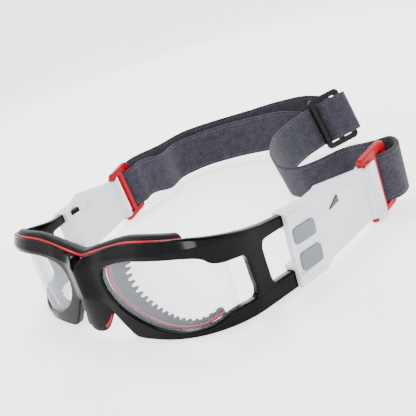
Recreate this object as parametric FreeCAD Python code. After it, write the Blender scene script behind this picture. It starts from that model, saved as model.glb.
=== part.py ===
# Sports protective goggles: a one-piece wrap frame with two lenses, soft face skirts, a nose
# pad and a brow pad, two strap clips that push onto the arms, and an elastic strap that runs
# through two double-slot rings and a three-bar slider.
# Millimetres. +Z is up, the wearer looks towards -Y, and +X is the wearer's left.
# The origin is under the middle of the whole, on the table that the goggles rest on.
import FreeCAD
import Part
import math
import os

Vector = FreeCAD.Vector

doc = FreeCAD.newDocument("sports_goggles")

# Driving sizes. Every place along Y counts back from the front of the bridge.
SIZES = {
    "bridge_place": -113.0,
    "front_setback": 3.5,
    "front_radius": 210.0,
    "front_turn": 8.6,
    "temple_radius": 41.2,
    "arm_heading": 74.2,
    "wall": 4.0,
    "brow_top": 44.0,
    "brow_middle": 36.6,
    "brow_ledge": 38.0,
    "temple_top": 36.3,
    "arm_top": 33.0,
    "bridge_underside": 19.6,
    "upper_arm_underside": 28.1,
    "lower_arm_top": 8.0,
    "strut_front": 31.8,
    "strut_back": 40.4,
    "arm_end": 52.5,
    "lens_width": 47.0,
    "lens_height": 34.0,
    "lens_nasal_edge": 11.2,
    "lens_bottom": 2.8,
    "lens_thickness": 2.0,
    "lens_inset": 1.2,
    "lens_lip": 0.9,
    "skirt_depth": 7.5,
    "skirt_thickness": 1.2,
    "strip_width": 1.3,
    "nose_cup_width": 17.2,
    "nose_cup_depth": 7.5,
    "nose_cup_setback": 1.7,
    "nose_cup_bottom": 4.0,
    "nose_cup_rise": 8.5,
    "nose_cup_thickness": 2.0,
    "brow_strip_thickness": 1.1,
    "brow_pad_thickness": 4.6,
    "brow_pad_reach": 53.0,
    "tongue_thickness": 2.4,
    "tongue_length": 13.0,
    "tongue_play": 0.1,
    "clip_wall": 1.6,
    "clip_length": 16.0,
    "sleeve_length": 10.5,
    "sleeve_proud": 1.1,
    "hook_cover": 1.2,
    "connector_thickness": 2.6,
    "connector_top": 35.6,
    "grip_length": 12.0,
    "grip_thickness": 1.2,
    "ring_pivot_side": 79.8,
    "ring_pivot_back": 109.8,
    "ring_pivot_height": 16.4,
    "ring_lean": 8.0,
    "ring_bar": 3.4,
    "ring_thickness": 3.2,
    "ring_slot": 5.4,
    "ring_slot_height": 26.6,
    "pivot_play": 0.08,
    "strap_width": 25.0,
    "strap_thickness": 1.6,
    "slider_length": 21.4,
    "slider_bar": 3.4,
    "slider_thickness": 2.8,
}

sheet = doc.addObject("Spreadsheet::Sheet", "sizes")
for row, (alias, value) in enumerate(SIZES.items(), start=1):
    sheet.set("A%d" % row, alias)
    sheet.set("B%d" % row, str(value))
    sheet.setAlias("B%d" % row, alias)
doc.recompute()


def size(alias):
    """The sheet's value for one named size."""
    return float(sheet.get(alias))


BRIDGE = size("bridge_place")
WALL = size("wall")
STRAP_W = size("strap_width")
STRAP_T = size("strap_thickness")
nodes = []


def sub_part(label, shape):
    """One sub-part of the document, standing where its shape was built."""
    feature = doc.addObject("Part::Feature", label)
    feature.Label = label
    feature.Shape = shape
    nodes.append(feature)
    return feature


def mirrored(shape):
    """The same piece on the wearer's right."""
    return shape.mirror(Vector(0, 0, 0), Vector(1, 0, 0))


def both_sides(name, shape):
    """The piece on the wearer's left and its mirror image on the right."""
    sub_part("left_" + name, shape)
    sub_part("right_" + name, mirrored(shape))


# ---------------------------------------------------------------------------------------------
# Plan of the front: a shallow arc across the face, a tight arc round each temple, a straight arm.

def front_point(along, behind=0.0):
    """Point of the outer face's plan at a length along it, moved back from the face."""
    front_r = size("front_radius")
    temple_r = size("temple_radius")
    turn = math.radians(size("front_turn"))
    heading = math.radians(size("arm_heading"))
    first = front_r * turn
    second = first + temple_r * (heading - turn)
    length = abs(along)
    angle = min(length / front_r, turn)
    x = front_r * math.sin(angle)
    y = size("front_setback") + front_r * (1 - math.cos(angle))
    if length > first:
        angle = min(turn + (length - first) / temple_r, heading)
        x += temple_r * (math.sin(angle) - math.sin(turn))
        y += temple_r * (math.cos(turn) - math.cos(angle))
    if length > second:
        x += (length - second) * math.cos(heading)
        y += (length - second) * math.sin(heading)
    x -= behind * math.sin(angle)
    y += behind * math.cos(angle)
    return math.copysign(x, along), BRIDGE + y


def along_at(x):
    """Length along the front at a distance out from the middle."""
    low, high = 0.0, 2.5 * abs(x) + 1.0
    for _ in range(50):
        middle = (low + high) / 2
        if front_point(middle)[0] < abs(x):
            low = middle
        else:
            high = middle
    return math.copysign(low, x)


def arm_length_to(back):
    """Length along the front at which the arm is this far behind the bridge."""
    heading = math.radians(size("arm_heading"))
    first = size("front_radius") * math.radians(size("front_turn"))
    second = first + size("temple_radius") * (heading - math.radians(size("front_turn")))
    return second + (BRIDGE + back - front_point(second)[1]) / math.sin(heading)


def curved_wall(near, far, reach, bottom, top):
    """Upright wall between two depths behind the front, from -reach to reach along it."""
    count = 72
    steps = [-reach + 2 * reach * i / count for i in range(count + 1)]
    front = [Vector(*front_point(s, near), bottom) for s in steps]
    back = [Vector(*front_point(s, far), bottom) for s in steps]
    front_edge = Part.BSplineCurve()
    front_edge.interpolate(front)
    back_edge = Part.BSplineCurve()
    back_edge.interpolate(back)
    wire = Part.Wire([front_edge.toShape(), Part.makeLine(front[-1], back[-1]),
                      back_edge.toShape(), Part.makeLine(back[0], front[0])])
    return Part.Face(wire).extrude(Vector(0, 0, top - bottom))


def front_prism(outline, start, end):
    """Solid whose outline is seen from the front, from one depth to another."""
    corners = [Vector(x, BRIDGE + start, z) for x, z in outline]
    return Part.Face(Part.makePolygon(corners + corners[:1])).extrude(Vector(0, end - start, 0))


def smooth_front_prism(outline, start, end):
    """The same with one smooth closed curve through the outline's points."""
    curve = Part.BSplineCurve()
    curve.interpolate([Vector(x, BRIDGE + start, z) for x, z in outline], PeriodicFlag=True)
    return Part.Face(Part.Wire(curve.toShape())).extrude(Vector(0, end - start, 0))


def side_prism(outline, start, end, corner=0.0):
    """Solid whose outline is seen from the side, between two distances out from the middle."""
    corners = [Vector(start, BRIDGE + y, z) for y, z in outline]
    solid = Part.Face(Part.makePolygon(corners + corners[:1])).extrude(Vector(end - start, 0, 0))
    if corner:
        long_edges = [e for e in solid.Edges if abs(e.tangentAt(e.FirstParameter).x) > 0.99]
        solid = solid.makeFillet(corner, long_edges)
    return solid


def chord_lengths(points):
    """Running length of the straight chords between points."""
    lengths = [0.0]
    for here, following in zip(points, points[1:]):
        lengths.append(lengths[-1] + (following - here).Length)
    return lengths


def curve_through(points, lengths):
    """Smooth curve that passes each point at its given length."""
    curve = Part.BSplineCurve()
    curve.interpolate(Points=points, Parameters=lengths)
    return curve


def ruled_face(one, other):
    """Face of straight lines between two curves that share their knots."""
    surface = Part.BSplineSurface()
    surface.buildFromPolesMultsKnots([one.getPoles(), other.getPoles()], (2, 2),
                                     one.getMultiplicities(), (0, 1), one.getKnots(),
                                     False, False, 1, one.Degree)
    return surface.toShape()


def ribbon(lower, upper, thickness):
    """Strip of even thickness between two edge lines, each given by matching points."""
    last = len(lower) - 1
    centre = [(a + b) * 0.5 for a, b in zip(lower, upper)]
    rails = [[], [], [], []]
    for i in range(last + 1):
        ahead = centre[min(i + 1, last)] - centre[max(i - 1, 0)]
        normal = ahead.cross(upper[i] - lower[i])
        normal.normalize()
        step = normal * (thickness / 2)
        corners = (lower[i] - step, lower[i] + step, upper[i] + step, upper[i] - step)
        for rail, corner in zip(rails, corners):
            rail.append(corner)
    lengths = chord_lengths(centre)
    curves = [curve_through(rail, lengths) for rail in rails]
    faces = [ruled_face(curves[i], curves[(i + 1) % 4]) for i in range(4)]
    for end in (0, -1):
        ring = [rail[end] for rail in rails]
        faces.append(Part.Face(Part.makePolygon(ring + ring[:1])))
    shell = Part.makeShell(faces)
    shell.sewShape()
    solid = Part.makeSolid(shell)
    if solid.Volume < 0:
        solid.reverse()
    return solid


def smooth_line(points, count):
    """Evenly spaced points on one smooth curve through the given points."""
    curve = Part.BSplineCurve()
    curve.interpolate([Vector(*p) for p in points])
    return curve.discretize(Number=count)


# ---------------------------------------------------------------------------------------------
# Frame, moulded in one: brow, two rims, bridge, and on each side an upper and a lower arm
# joined by a slanting strut. Each arm ends in a thinner tongue that the strap clip covers.

ARM_END = arm_length_to(size("arm_end"))
BIG = 60.0


def front_outline():
    """Half of the frame seen from the front, from the bridge's top round to its underside."""
    top = size("brow_top")
    middle = size("brow_middle")
    under = size("bridge_underside")
    reach = front_point(ARM_END)[0] + 10
    return [(0, middle), (6, middle + 1.4), (15, top - 3.2), (28, top - 0.6), (42, top),
            (50, top - 0.6), (56, top + 8), (reach, top + 8), (reach, 0), (19.8, 0),
            (15.5, 4.7), (9.8, 13.1), (6.5, under - 1.5), (0, under)]


def side_outline():
    """The frame's upper edge seen from the side, closed well below it and behind it."""
    return [(-10, size("brow_top") + 6), (15.3, size("brow_top") - 1.7),
            (23, (size("brow_top") + size("temple_top")) / 2),
            (34, size("temple_top")), (44, size("arm_top") + 1.0),
            (size("arm_end") - 2, size("arm_top")), (BIG, size("arm_top")), (BIG, 0), (-10, 0)]


def lens_outline(grow):
    """Lens opening seen from the front, from its nasal top corner round to the brow."""
    left = size("lens_nasal_edge")
    low = size("lens_bottom")
    wide = size("lens_width")
    high = size("lens_height")
    shares = [(0.03, 0.86), (0.0, 0.66), (0.05, 0.44), (0.21, 0.22), (0.40, 0.09), (0.62, 0.01),
              (0.80, 0.0), (0.97, 0.09), (1.02, 0.30), (1.0, 0.62), (0.93, 0.88), (0.72, 0.99),
              (0.44, 1.0), (0.19, 0.95)]
    middle = (left + wide / 2, low + high / 2)
    points = []
    for across, up in shares:
        x = left + across * wide
        z = low + up * high
        away = math.hypot(x - middle[0], z - middle[1])
        points.append((x + grow * (x - middle[0]) / away, z + grow * (z - middle[1]) / away))
    return points


def frame_solid():
    outline = front_outline()
    whole = outline + [(-x, z) for x, z in reversed(outline) if x > 0]
    wall = curved_wall(0, WALL, ARM_END, 0, size("brow_top") + 8)
    solid = wall.common(front_prism(whole, -10, BIG))
    solid = solid.common(side_prism(side_outline(), -100, 100))
    keel = [(0, 0), (8.5, size("front_setback") + 0.4), (8.5, size("front_setback") + 2),
            (-8.5, size("front_setback") + 2), (-8.5, size("front_setback") + 0.4)]
    foot = [Vector(x, BRIDGE + y, size("bridge_underside") + 0.5) for x, y in keel]
    height = size("brow_middle") - size("bridge_underside") - 1.5
    solid = solid.fuse(Part.Face(Part.makePolygon(foot + foot[:1])).extrude(Vector(0, 0, height)))
    upper = size("upper_arm_underside")
    lower = size("lower_arm_top")
    front = size("strut_front")
    back = size("strut_back")
    window = [(17, upper + 1.2), (front - 2, upper - 0.6), (front, upper - 4),
              (front + 1.5, lower + 0.4), (front + 0.5, lower - 1), (17, lower - 1)]
    side_window = [(back - 0.7, upper), (BIG + 2, upper), (BIG + 2, lower), (back + 1.6, lower)]
    behind_pad = curved_wall(WALL - size("brow_strip_thickness"), WALL + 3,
                             size("brow_pad_reach") + 0.4, size("brow_ledge"), size("brow_top") + 9)
    tools = [behind_pad]
    cuts = [smooth_front_prism(lens_outline(0), -5, 38), side_prism(window, 50, 90, 1.0),
            side_prism(side_window, 50, 90)]
    for cut in cuts:
        tools.extend([cut, mirrored(cut)])
    solid = solid.cut(tools)
    for tongue in tongue_boxes(0):
        solid = solid.fuse([tongue, mirrored(tongue)])
    return solid.removeSplitter()


def tongue_boxes(play):
    """Upper and lower tongue of one arm, larger all round by the play in the clip."""
    thick = size("tongue_thickness")
    x, y = front_point(ARM_END, WALL / 2)
    boxes = []
    spans = [(size("upper_arm_underside") + 0.9, size("arm_top") - 1.3),
             (1.4, size("lower_arm_top") - 1.6)]
    for low, high in spans:
        corner = Vector(x - thick / 2 - play, y - 1.4, low - play)
        boxes.append(Part.makeBox(thick + 2 * play, size("tongue_length") + 1.4 + play,
                                  high - low + 2 * play, corner))
    return boxes


def lens_solid():
    """Curved lens held in the rims' grooves, bare along its temple edge."""
    inset = size("lens_inset")
    wall = curved_wall(inset, inset + size("lens_thickness"), ARM_END - 20, 0, 45)
    blank = wall.common(smooth_front_prism(lens_outline(size("lens_lip")), -5, 38))
    bare = size("lens_nasal_edge") + size("lens_width")
    return blank.common(Part.makeBox(bare, 60, 60, Vector(0, BRIDGE - 10, -2)))


lens = lens_solid()
frame_shape = frame_solid().cut([lens, mirrored(lens)])
sub_part("frame", frame_shape)
both_sides("lens", lens)


# ---------------------------------------------------------------------------------------------
# Face skirt behind each lens, with a thin strip between it and the rim. It follows the nose
# side and the lower side of the opening and leans in towards the eye.

def skirt_line(behind, inwards):
    """Points behind the rim along the nose side and the lower side of the opening."""
    points = []
    for i, (x, z) in enumerate(lens_outline(0.2)[:8]):
        nose_side = max(0.0, 1.0 - i / 4.0)
        out = x + inwards * nose_side
        up = z + 0.25 * inwards
        points.append(Vector(*front_point(along_at(out), behind), up))
    return smooth_line(points, 36)


def skirt_piece(start, end, lean):
    thickness = size("skirt_thickness")
    return ribbon(skirt_line(start, lean * (start - WALL)), skirt_line(end, lean * (end - WALL)),
                  thickness)


SKIRT_LEAN = 0.8
strip_start = WALL + 0.25
strip_end = strip_start + size("strip_width")
both_sides("skirt_strip", skirt_piece(strip_start, strip_end, SKIRT_LEAN))
both_sides("skirt", skirt_piece(strip_end + 0.1, strip_end + size("skirt_depth"), SKIRT_LEAN))


# ---------------------------------------------------------------------------------------------
# Nose pad: a soft cup under the bridge that wraps the nose, with a red stripe down each side.

CUP_WIDTH = size("nose_cup_width")
CUP_SETBACK = size("nose_cup_setback")


def cup_place(turn, height, proud=0.0):
    """Point on the cup, turned round from its front, at a height."""
    angle = math.radians(turn)
    x = CUP_WIDTH / 2 * math.sin(angle) + proud * math.sin(angle)
    y = CUP_SETBACK + size("nose_cup_depth") * (1 - math.cos(angle)) - proud * math.cos(angle)
    return Vector(x, BRIDGE + y, height)


def cup_low(turn):
    """Height of the cup's lower edge, which rises to the sides."""
    return size("nose_cup_bottom") + size("nose_cup_rise") * math.sin(math.radians(turn)) ** 4


def cup_high(turn):
    """Height of the cup's upper edge, just under the bridge."""
    return size("bridge_underside") - 0.9 - 5.2 * math.sin(math.radians(turn)) ** 2


def nose_cup():
    turns = [-75 + 150 * i / 24 for i in range(25)]
    return ribbon([cup_place(turn, cup_low(turn)) for turn in turns],
                  [cup_place(turn, cup_high(turn)) for turn in turns],
                  size("nose_cup_thickness"))


def nose_stripe():
    """Stripe on the cup's outside, following its lower edge up the left side."""
    proud = size("nose_cup_thickness") / 2 + 0.3
    turns = [34 + 20 * i / 10 for i in range(11)]
    low = [cup_place(turn, cup_low(turn) + 1.6, proud) for turn in turns]
    high = [cup_place(turn, cup_low(turn) + 3.2, proud) for turn in turns]
    return ribbon(low, high, 0.5)


sub_part("nose_pad", nose_cup())
both_sides("nose_stripe", nose_stripe())


# ---------------------------------------------------------------------------------------------
# Brow pad on the frame's ledge, with a thin strip against the frame. Both dip over the nose.

def brow_line(behind, rise, low=None):
    """Line along the brow at a depth: the brow's edge raised, or a height kept just below it."""
    top = size("brow_top")
    heights = [(0, size("brow_middle") + 0.6), (8, size("brow_middle") + 2.4), (18, top - 2.6),
               (30, top - 0.3), (42, top - 0.1), (size("brow_pad_reach"), top - 1.4)]
    half = [(s, z + rise if low is None else min(low, z - 0.9)) for s, z in heights]
    whole = [(-s, z) for s, z in reversed(half) if s > 0] + half
    return smooth_line([Vector(*front_point(s, behind), z) for s, z in whole], 40)


strip_t = size("brow_strip_thickness")
pad_t = size("brow_pad_thickness")
strip_place = WALL - strip_t / 2
pad_place = WALL + pad_t / 2 + 0.1
ledge = size("brow_ledge") + 0.1
pad_bottom = size("brow_ledge") - 3.2
sub_part("brow_strip", ribbon(brow_line(strip_place, 0, ledge), brow_line(strip_place, 0.4),
                              strip_t - 0.1).cut(frame_shape))
sub_part("brow_pad", ribbon(brow_line(pad_place, 0, pad_bottom), brow_line(pad_place, 1.6), pad_t))


# ---------------------------------------------------------------------------------------------
# Strap clip on each pair of arm tongues, moulded in one with the flat connector that reaches
# back to the strap ring and closes round the ring's front bar.

PIVOT = Vector(size("ring_pivot_side"), BRIDGE + size("ring_pivot_back"),
               size("ring_pivot_height"))
LEAN = size("ring_lean")
TALL = size("ring_slot_height")
bar_r = size("ring_bar") / 2
play = size("pivot_play")


def arm_plan(back, side):
    """Plan point on the clip, measured back from the bridge and out from the arm's face."""
    x, y = front_point(arm_length_to(back), -side)
    return Vector(x, y, 0)


CONNECTOR_START = size("arm_end") + size("clip_length")
start_out = arm_plan(CONNECTOR_START, 1.2)
run = Vector(PIVOT.x - start_out.x + size("connector_thickness") / 2, PIVOT.y - start_out.y, 0)
RING_HEADING = math.degrees(math.atan2(run.y, run.x))


def lean_back(shape):
    """Turn a piece built upright at the pivot into the ring's heading and lean."""
    shape.rotate(Vector(0, 0, 0), Vector(1, 0, 0), LEAN)
    shape.rotate(Vector(0, 0, 0), Vector(0, 0, 1), RING_HEADING - 90)
    shape.translate(PIVOT)
    return shape


def grip_box(low, high, start):
    """Grey grip let into the clip's outer face, at a height and a distance behind its front."""
    heading = size("arm_heading")
    box = Part.makeBox(size("grip_length"), size("grip_thickness"), high - low,
                       Vector(start, -size("grip_thickness") + 0.4, low))
    box = box.makeFillet(1.6, [e for e in box.Edges if abs(e.tangentAt(0).y) > 0.99])
    box.rotate(Vector(0, 0, 0), Vector(0, 0, 1), heading)
    place = arm_plan(size("arm_end"), 1.4)
    box.translate(Vector(place.x, place.y, 0))
    return box


def clip_plate():
    """Plan of clip and connector pulled up to full height, then trimmed to its side view."""
    end = size("arm_end")
    skin = size("clip_wall")
    thick = size("connector_thickness")
    heading = math.radians(RING_HEADING)
    ahead = Vector(math.cos(heading), math.sin(heading), 0)
    out = Vector(math.sin(heading), -math.cos(heading), 0)
    hook = Vector(PIVOT.x, PIVOT.y, 0)
    thin = CONNECTOR_START + 3
    plan = [arm_plan(end + 0.3, 1.4), arm_plan(CONNECTOR_START, 1.4),
            hook + out * (thick / 2) - ahead * 2, hook - out * (thick / 2) - ahead * 2,
            arm_plan(thin, 1.4 - thick - 1.0), arm_plan(thin - 3, -WALL + 1),
            arm_plan(end + 3, -WALL - skin), arm_plan(end + 0.3, -WALL - skin)]
    slab = Part.Face(Part.makePolygon(plan + plan[:1])).extrude(Vector(0, 0, BIG))
    top = size("arm_top") + 0.3
    hook_top = PIVOT.z + TALL / 2 - 1
    hook_low = PIVOT.z - TALL / 2 + 1
    back = size("ring_pivot_back")
    side = [(end, 0.1), (CONNECTOR_START, 0.1), (CONNECTOR_START + 5, 2.6), (back, hook_low),
            (back, hook_top), (CONNECTOR_START + 6, size("connector_top")),
            (CONNECTOR_START - 1, top), (end, top)]
    return slab.common(side_prism(side, 50, 100))


def sleeve(low, high):
    """Raised sleeve round a tongue, proud of the clip's outer face, its outer edges rounded."""
    heading = math.radians(size("arm_heading"))
    normal = Vector(math.sin(heading), -math.cos(heading), 0)
    start = size("arm_end") + 0.3
    end = start + size("sleeve_length")
    proud = 1.4 + size("sleeve_proud")
    plan = [arm_plan(start, 0.4), arm_plan(start, proud), arm_plan(end, proud - 0.5),
            arm_plan(end, 0.4)]
    block = Part.Face(Part.makePolygon(plan + plan[:1])).extrude(Vector(0, 0, high - low))
    block.translate(Vector(0, 0, low))
    reach = arm_plan(start, proud).dot(normal)
    outer = [e for e in block.Edges if e.CenterOfMass.dot(normal) > reach - 0.3]
    return block.makeFillet(0.8, outer)


def hook_cover():
    """Skin of the hook that reaches back over the ring's front slot, clear of its swing."""
    thick = size("hook_cover")
    foot = -TALL / 2 - 2.0
    return lean_back(Part.makeBox(thick, 1 + size("ring_slot"), TALL + 2.0,
                                  Vector(bar_r + 0.65, -1, foot)))


def clip_solid():
    end = size("arm_end")
    sleeves = [sleeve(0.1, size("lower_arm_top") - 2.2),
               sleeve(size("upper_arm_underside") - 1.6, size("arm_top") + 0.3)]
    plate = clip_plate().fuse(sleeves)
    hollow = [(end - 1, size("lower_arm_top") + 1.6), (end - 1, size("upper_arm_underside") - 1.6),
              (CONNECTOR_START - 4, size("upper_arm_underside") - 1.6),
              (CONNECTOR_START - 4, size("lower_arm_top") + 1.6)]
    room = side_prism(hollow, 40, arm_plan(end, -1.0).x)
    tube = Part.makeCylinder(bar_r + play + 1.5, TALL - 1, Vector(0, 0, -TALL / 2 + 0.5))
    tube = lean_back(tube)
    bore = Part.makeCylinder(bar_r + play, TALL + 20, Vector(0, 0, -TALL / 2 - 10))
    bore = lean_back(bore)
    solid = plate.cut([room] + tongue_boxes(size("tongue_play")))
    return solid.fuse([tube, hook_cover()]).cut(bore)


UPPER_GRIP = (size("upper_arm_underside") - 9.3, size("upper_arm_underside") - 2.1)
LOWER_GRIP = (size("lower_arm_top") - 1.7, size("lower_arm_top") + 6.4)
grips = {"upper_grip": grip_box(*UPPER_GRIP, 2.2), "lower_grip": grip_box(*LOWER_GRIP, 3.0)}


def latch_wedge():
    """Black three-sided latch tab showing in the connector's window."""
    heading = math.radians(RING_HEADING)
    ahead = Vector(math.cos(heading), math.sin(heading), 0)
    out = Vector(math.sin(heading), -math.cos(heading), 0)
    foot = Vector(PIVOT.x, PIVOT.y, 0) - ahead * 33 + out * 0.2
    corners = [foot + Vector(0, 0, 23.6), foot + ahead * 7.2 + Vector(0, 0, 24.4),
               foot + ahead * 6.6 + Vector(0, 0, 27.4)]
    return Part.Face(Part.makePolygon(corners + corners[:1])).extrude(out * 1.9)


latch = latch_wedge()
clip = clip_solid().cut(list(grips.values()) + [latch])
both_sides("clip", clip)
for grip_name, grip in grips.items():
    both_sides(grip_name, grip)
both_sides("latch", latch)


# ---------------------------------------------------------------------------------------------
# Strap ring: three upright bars between two rounded side bars. The front bar is round, because
# the connector turns on it.

SLOT = size("ring_slot")
BAR = size("ring_bar")
FIRST_BAR = bar_r + SLOT - 0.4
RING_END = FIRST_BAR + 2 * BAR + SLOT
STRAP_SLOT = FIRST_BAR + BAR + SLOT / 2


def ring_solid():
    thick = size("ring_thickness")
    tall = TALL + 2 * BAR
    body = Part.makeBox(thick, RING_END + bar_r, tall, Vector(-thick / 2, -bar_r, -tall / 2))
    corners = [e for e in body.Edges if abs(e.tangentAt(0).x) > 0.99]
    body = body.makeFillet(BAR * 0.9, corners)
    first = Part.makeBox(thick, FIRST_BAR + bar_r, TALL, Vector(-thick / 2, -bar_r, -TALL / 2))
    second = Part.makeBox(thick, SLOT, TALL, Vector(-thick / 2, FIRST_BAR + BAR, -TALL / 2))
    body = body.cut([first, second])
    body = body.makeChamfer(0.5, [e for e in body.Edges if e.Length > TALL / 2])
    pivot = Part.makeCylinder(bar_r, tall - 2, Vector(0, 0, -tall / 2 + 1))
    return lean_back(body.fuse(pivot))


both_sides("ring", ring_solid())


# ---------------------------------------------------------------------------------------------
# Slider: three bars in a rounded rectangle. It stands askew on the strap behind the goggles.

SLIDER_CENTRE = Vector(18.8, BRIDGE + 212.8, 21.0)
SLIDER_AHEAD = Vector(0.568, 0.814, 0.106)
SLIDER_UP = Vector(-0.335, 0.112, 0.936)
SLIDER_OUT = SLIDER_AHEAD.cross(SLIDER_UP)
SLIDER_TURN = FreeCAD.Matrix(SLIDER_AHEAD.x, SLIDER_OUT.x, SLIDER_UP.x, SLIDER_CENTRE.x,
                             SLIDER_AHEAD.y, SLIDER_OUT.y, SLIDER_UP.y, SLIDER_CENTRE.y,
                             SLIDER_AHEAD.z, SLIDER_OUT.z, SLIDER_UP.z, SLIDER_CENTRE.z)


def slider_solid():
    long = size("slider_length")
    bar = size("slider_bar")
    thick = size("slider_thickness")
    tall = STRAP_W + 1.6 + 2 * bar
    opening = STRAP_W + 1.6
    body = Part.makeBox(long, thick, tall, Vector(-long / 2, -thick / 2, -tall / 2))
    body = body.makeFillet(3.0, [e for e in body.Edges if abs(e.tangentAt(0).y) > 0.99])
    gap = (long - 3 * bar) / 2
    for start in (-long / 2 + bar, bar / 2):
        body = body.cut(Part.makeBox(gap, thick, opening, Vector(start, -thick / 2, -opening / 2)))
    body = body.makeChamfer(0.5, [e for e in body.Edges if e.Length > STRAP_W])
    return body.transformGeometry(SLIDER_TURN)


sub_part("slider", slider_solid())


# ---------------------------------------------------------------------------------------------
# Elastic strap. One length of webbing, cut here into the stretches that move apart when the
# slider is pulled along it. Routes give the strap's middle line, and how far it leans.

def strap(route, count):
    """Webbing along a smooth route of middle points, each with its lean along X and Y."""
    places = [Vector(x, y, z) for x, y, z, lean_x, lean_y in route]
    lengths = chord_lengths(places)
    middle = curve_through(places, lengths)
    leaning = curve_through([Vector(point[3], point[4], length)
                             for point, length in zip(route, lengths)], lengths)
    lower = []
    upper = []
    for i in range(count):
        at = lengths[-1] * i / (count - 1)
        lean = leaning.value(at)
        half = Vector(lean.x, lean.y, 1.0)
        half.normalize()
        half *= STRAP_W / 2
        lower.append(middle.value(at) - half)
        upper.append(middle.value(at) + half)
    return ribbon(lower, upper, STRAP_T)


def at_ring(side, ahead, out):
    """Place beside one ring's rear slot, along its heading and outwards, leaning with it."""
    heading = math.radians(RING_HEADING)
    ahead += STRAP_SLOT
    x = PIVOT.x + ahead * math.cos(heading) + out * math.sin(heading)
    y = PIVOT.y + ahead * math.sin(heading) - out * math.cos(heading)
    z = PIVOT.z + ahead * math.sin(math.radians(LEAN))
    lean = -math.tan(math.radians(LEAN))
    return side * x, y, z, side * lean * math.cos(heading), lean * math.sin(heading)


def at_slider(ahead, out):
    """Place beside the slider's middle, in its own directions, leaning with it."""
    place = SLIDER_CENTRE + SLIDER_AHEAD * ahead + SLIDER_OUT * out
    return place.x, place.y, place.z, SLIDER_UP.x / SLIDER_UP.z, SLIDER_UP.y / SLIDER_UP.z


def at_back(share, back, height, lean_x=0.0, lean_y=0.0):
    """Place on the loop behind the goggles, out by a share of the ring's distance."""
    return share * PIVOT.x, BRIDGE + back, height, lean_x, lean_y


# The wearer's right: from behind the slider out to the ring, round its rear bar and back.
right_route = [
    at_slider(9.4, -9.4),
    at_back(0.02, 224.5, 22.6, -0.20, 0.05),
    at_back(-0.25, 222.0, 22.2, -0.10, 0.05),
    at_back(-0.53, 216.0, 20.4),
    at_back(-0.80, 207.0, 19.2),
    at_back(-1.04, 190.0, 18.6),
    at_back(-1.09, 168.0, 18.2),
    at_ring(-1, 10.0, 5.6),
    at_ring(-1, 3.4, 5.2),
    at_ring(-1, -1.0, 0.0),
    at_ring(-1, 3.4, -5.2),
    at_ring(-1, 9.6, -5.6),
    at_back(-0.94, 152.0, 16.4, 0.0, -0.05),
    at_back(-1.00, 174.0, 15.6),
    at_back(-0.91, 191.0, 15.6),
    at_back(-0.68, 202.0, 16.6),
    at_back(-0.40, 206.0, 18.2, -0.05, 0.0),
    at_back(-0.12, 205.5, 19.6, -0.10, 0.0),
    at_slider(-13.6, -7.4),
]
sub_part("right_strap", strap(right_route, 150))

# The wearer's left: from the slider forward, round a loose fold, and out to the left ring.
left_route = [
    at_slider(-13.2, -2.9),
    at_back(0.075, 189.0, 17.6, -0.30, 0.10),
    at_back(0.065, 172.0, 16.2, -0.30, 0.0),
    at_back(0.125, 155.5, 15.2, -0.20, -0.10),
    at_back(0.245, 139.5, 14.8, -0.10, -0.30),
    at_back(0.36, 130.5, 14.2, 0.05, -0.50),
    at_back(0.49, 129.0, 13.8, 0.0, -0.50),
    at_back(0.61, 134.5, 14.4, -0.10, -0.45),
    at_back(0.73, 140.5, 16.0, -0.10, -0.30),
    at_ring(1, 12.0, -6.6),
    at_ring(1, 15.6, -1.0),
    at_ring(1, 11.4, 4.6),
    at_ring(1, 3.6, 5.2),
    at_ring(1, -1.0, 0.2),
    at_ring(1, 2.6, -4.8),
    at_ring(1, 7.4, -5.0),
]
sub_part("left_strap", strap(left_route, 125))

# The webbing that goes round the slider's bars: over the front of it, and the sewn end's loop.
arch = [(9.8, -8.9), (12.6, -4.6), (13.2, 0.0), (11.4, 3.6), (6.5, 5.0), (0.0, 5.0),
        (-4.2, 3.6), (-5.4, 0.0), (-6.6, -1.9), (-9.0, -2.5), (-11.9, -2.5)]
loop = [(-12.4, -6.7), (-5.0, -6.0), (0.6, -3.9), (2.7, -0.6), (1.4, 2.4), (-1.4, 2.4),
        (-2.9, -0.6), (-4.4, -3.4), (-8.0, -4.4), (-11.7, -4.4)]
sub_part("slider_strap_fold", strap([at_slider(*place) for place in arch], 50))
sub_part("sewn_strap_end", strap([at_slider(*place) for place in loop], 50))

# ---------------------------------------------------------------------------------------------
# Checks, then one file for each sub-part.

doc.recompute()
for item in doc.Objects:
    if "Invalid" in item.State or "Error" in item.State:
        raise RuntimeError("failed object " + item.Label)
for item in nodes:
    if item.Shape.isNull() or not item.Shape.isValid() or item.Shape.Volume <= 0:
        raise RuntimeError("bad shape " + item.Label)

os.makedirs("parts", exist_ok=True)
for item in nodes:
    item.Shape.exportStep("parts/" + item.Label + ".step")
    box = item.Shape.BoundBox
    print("%-20s solids %d volume %9.1f  x %7.2f %7.2f  y %8.2f %8.2f  z %6.2f %6.2f" % (
        item.Label, len(item.Shape.Solids), item.Shape.Volume, box.XMin, box.XMax,
        box.YMin, box.YMax, box.ZMin, box.ZMax))
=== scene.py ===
import math

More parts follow.
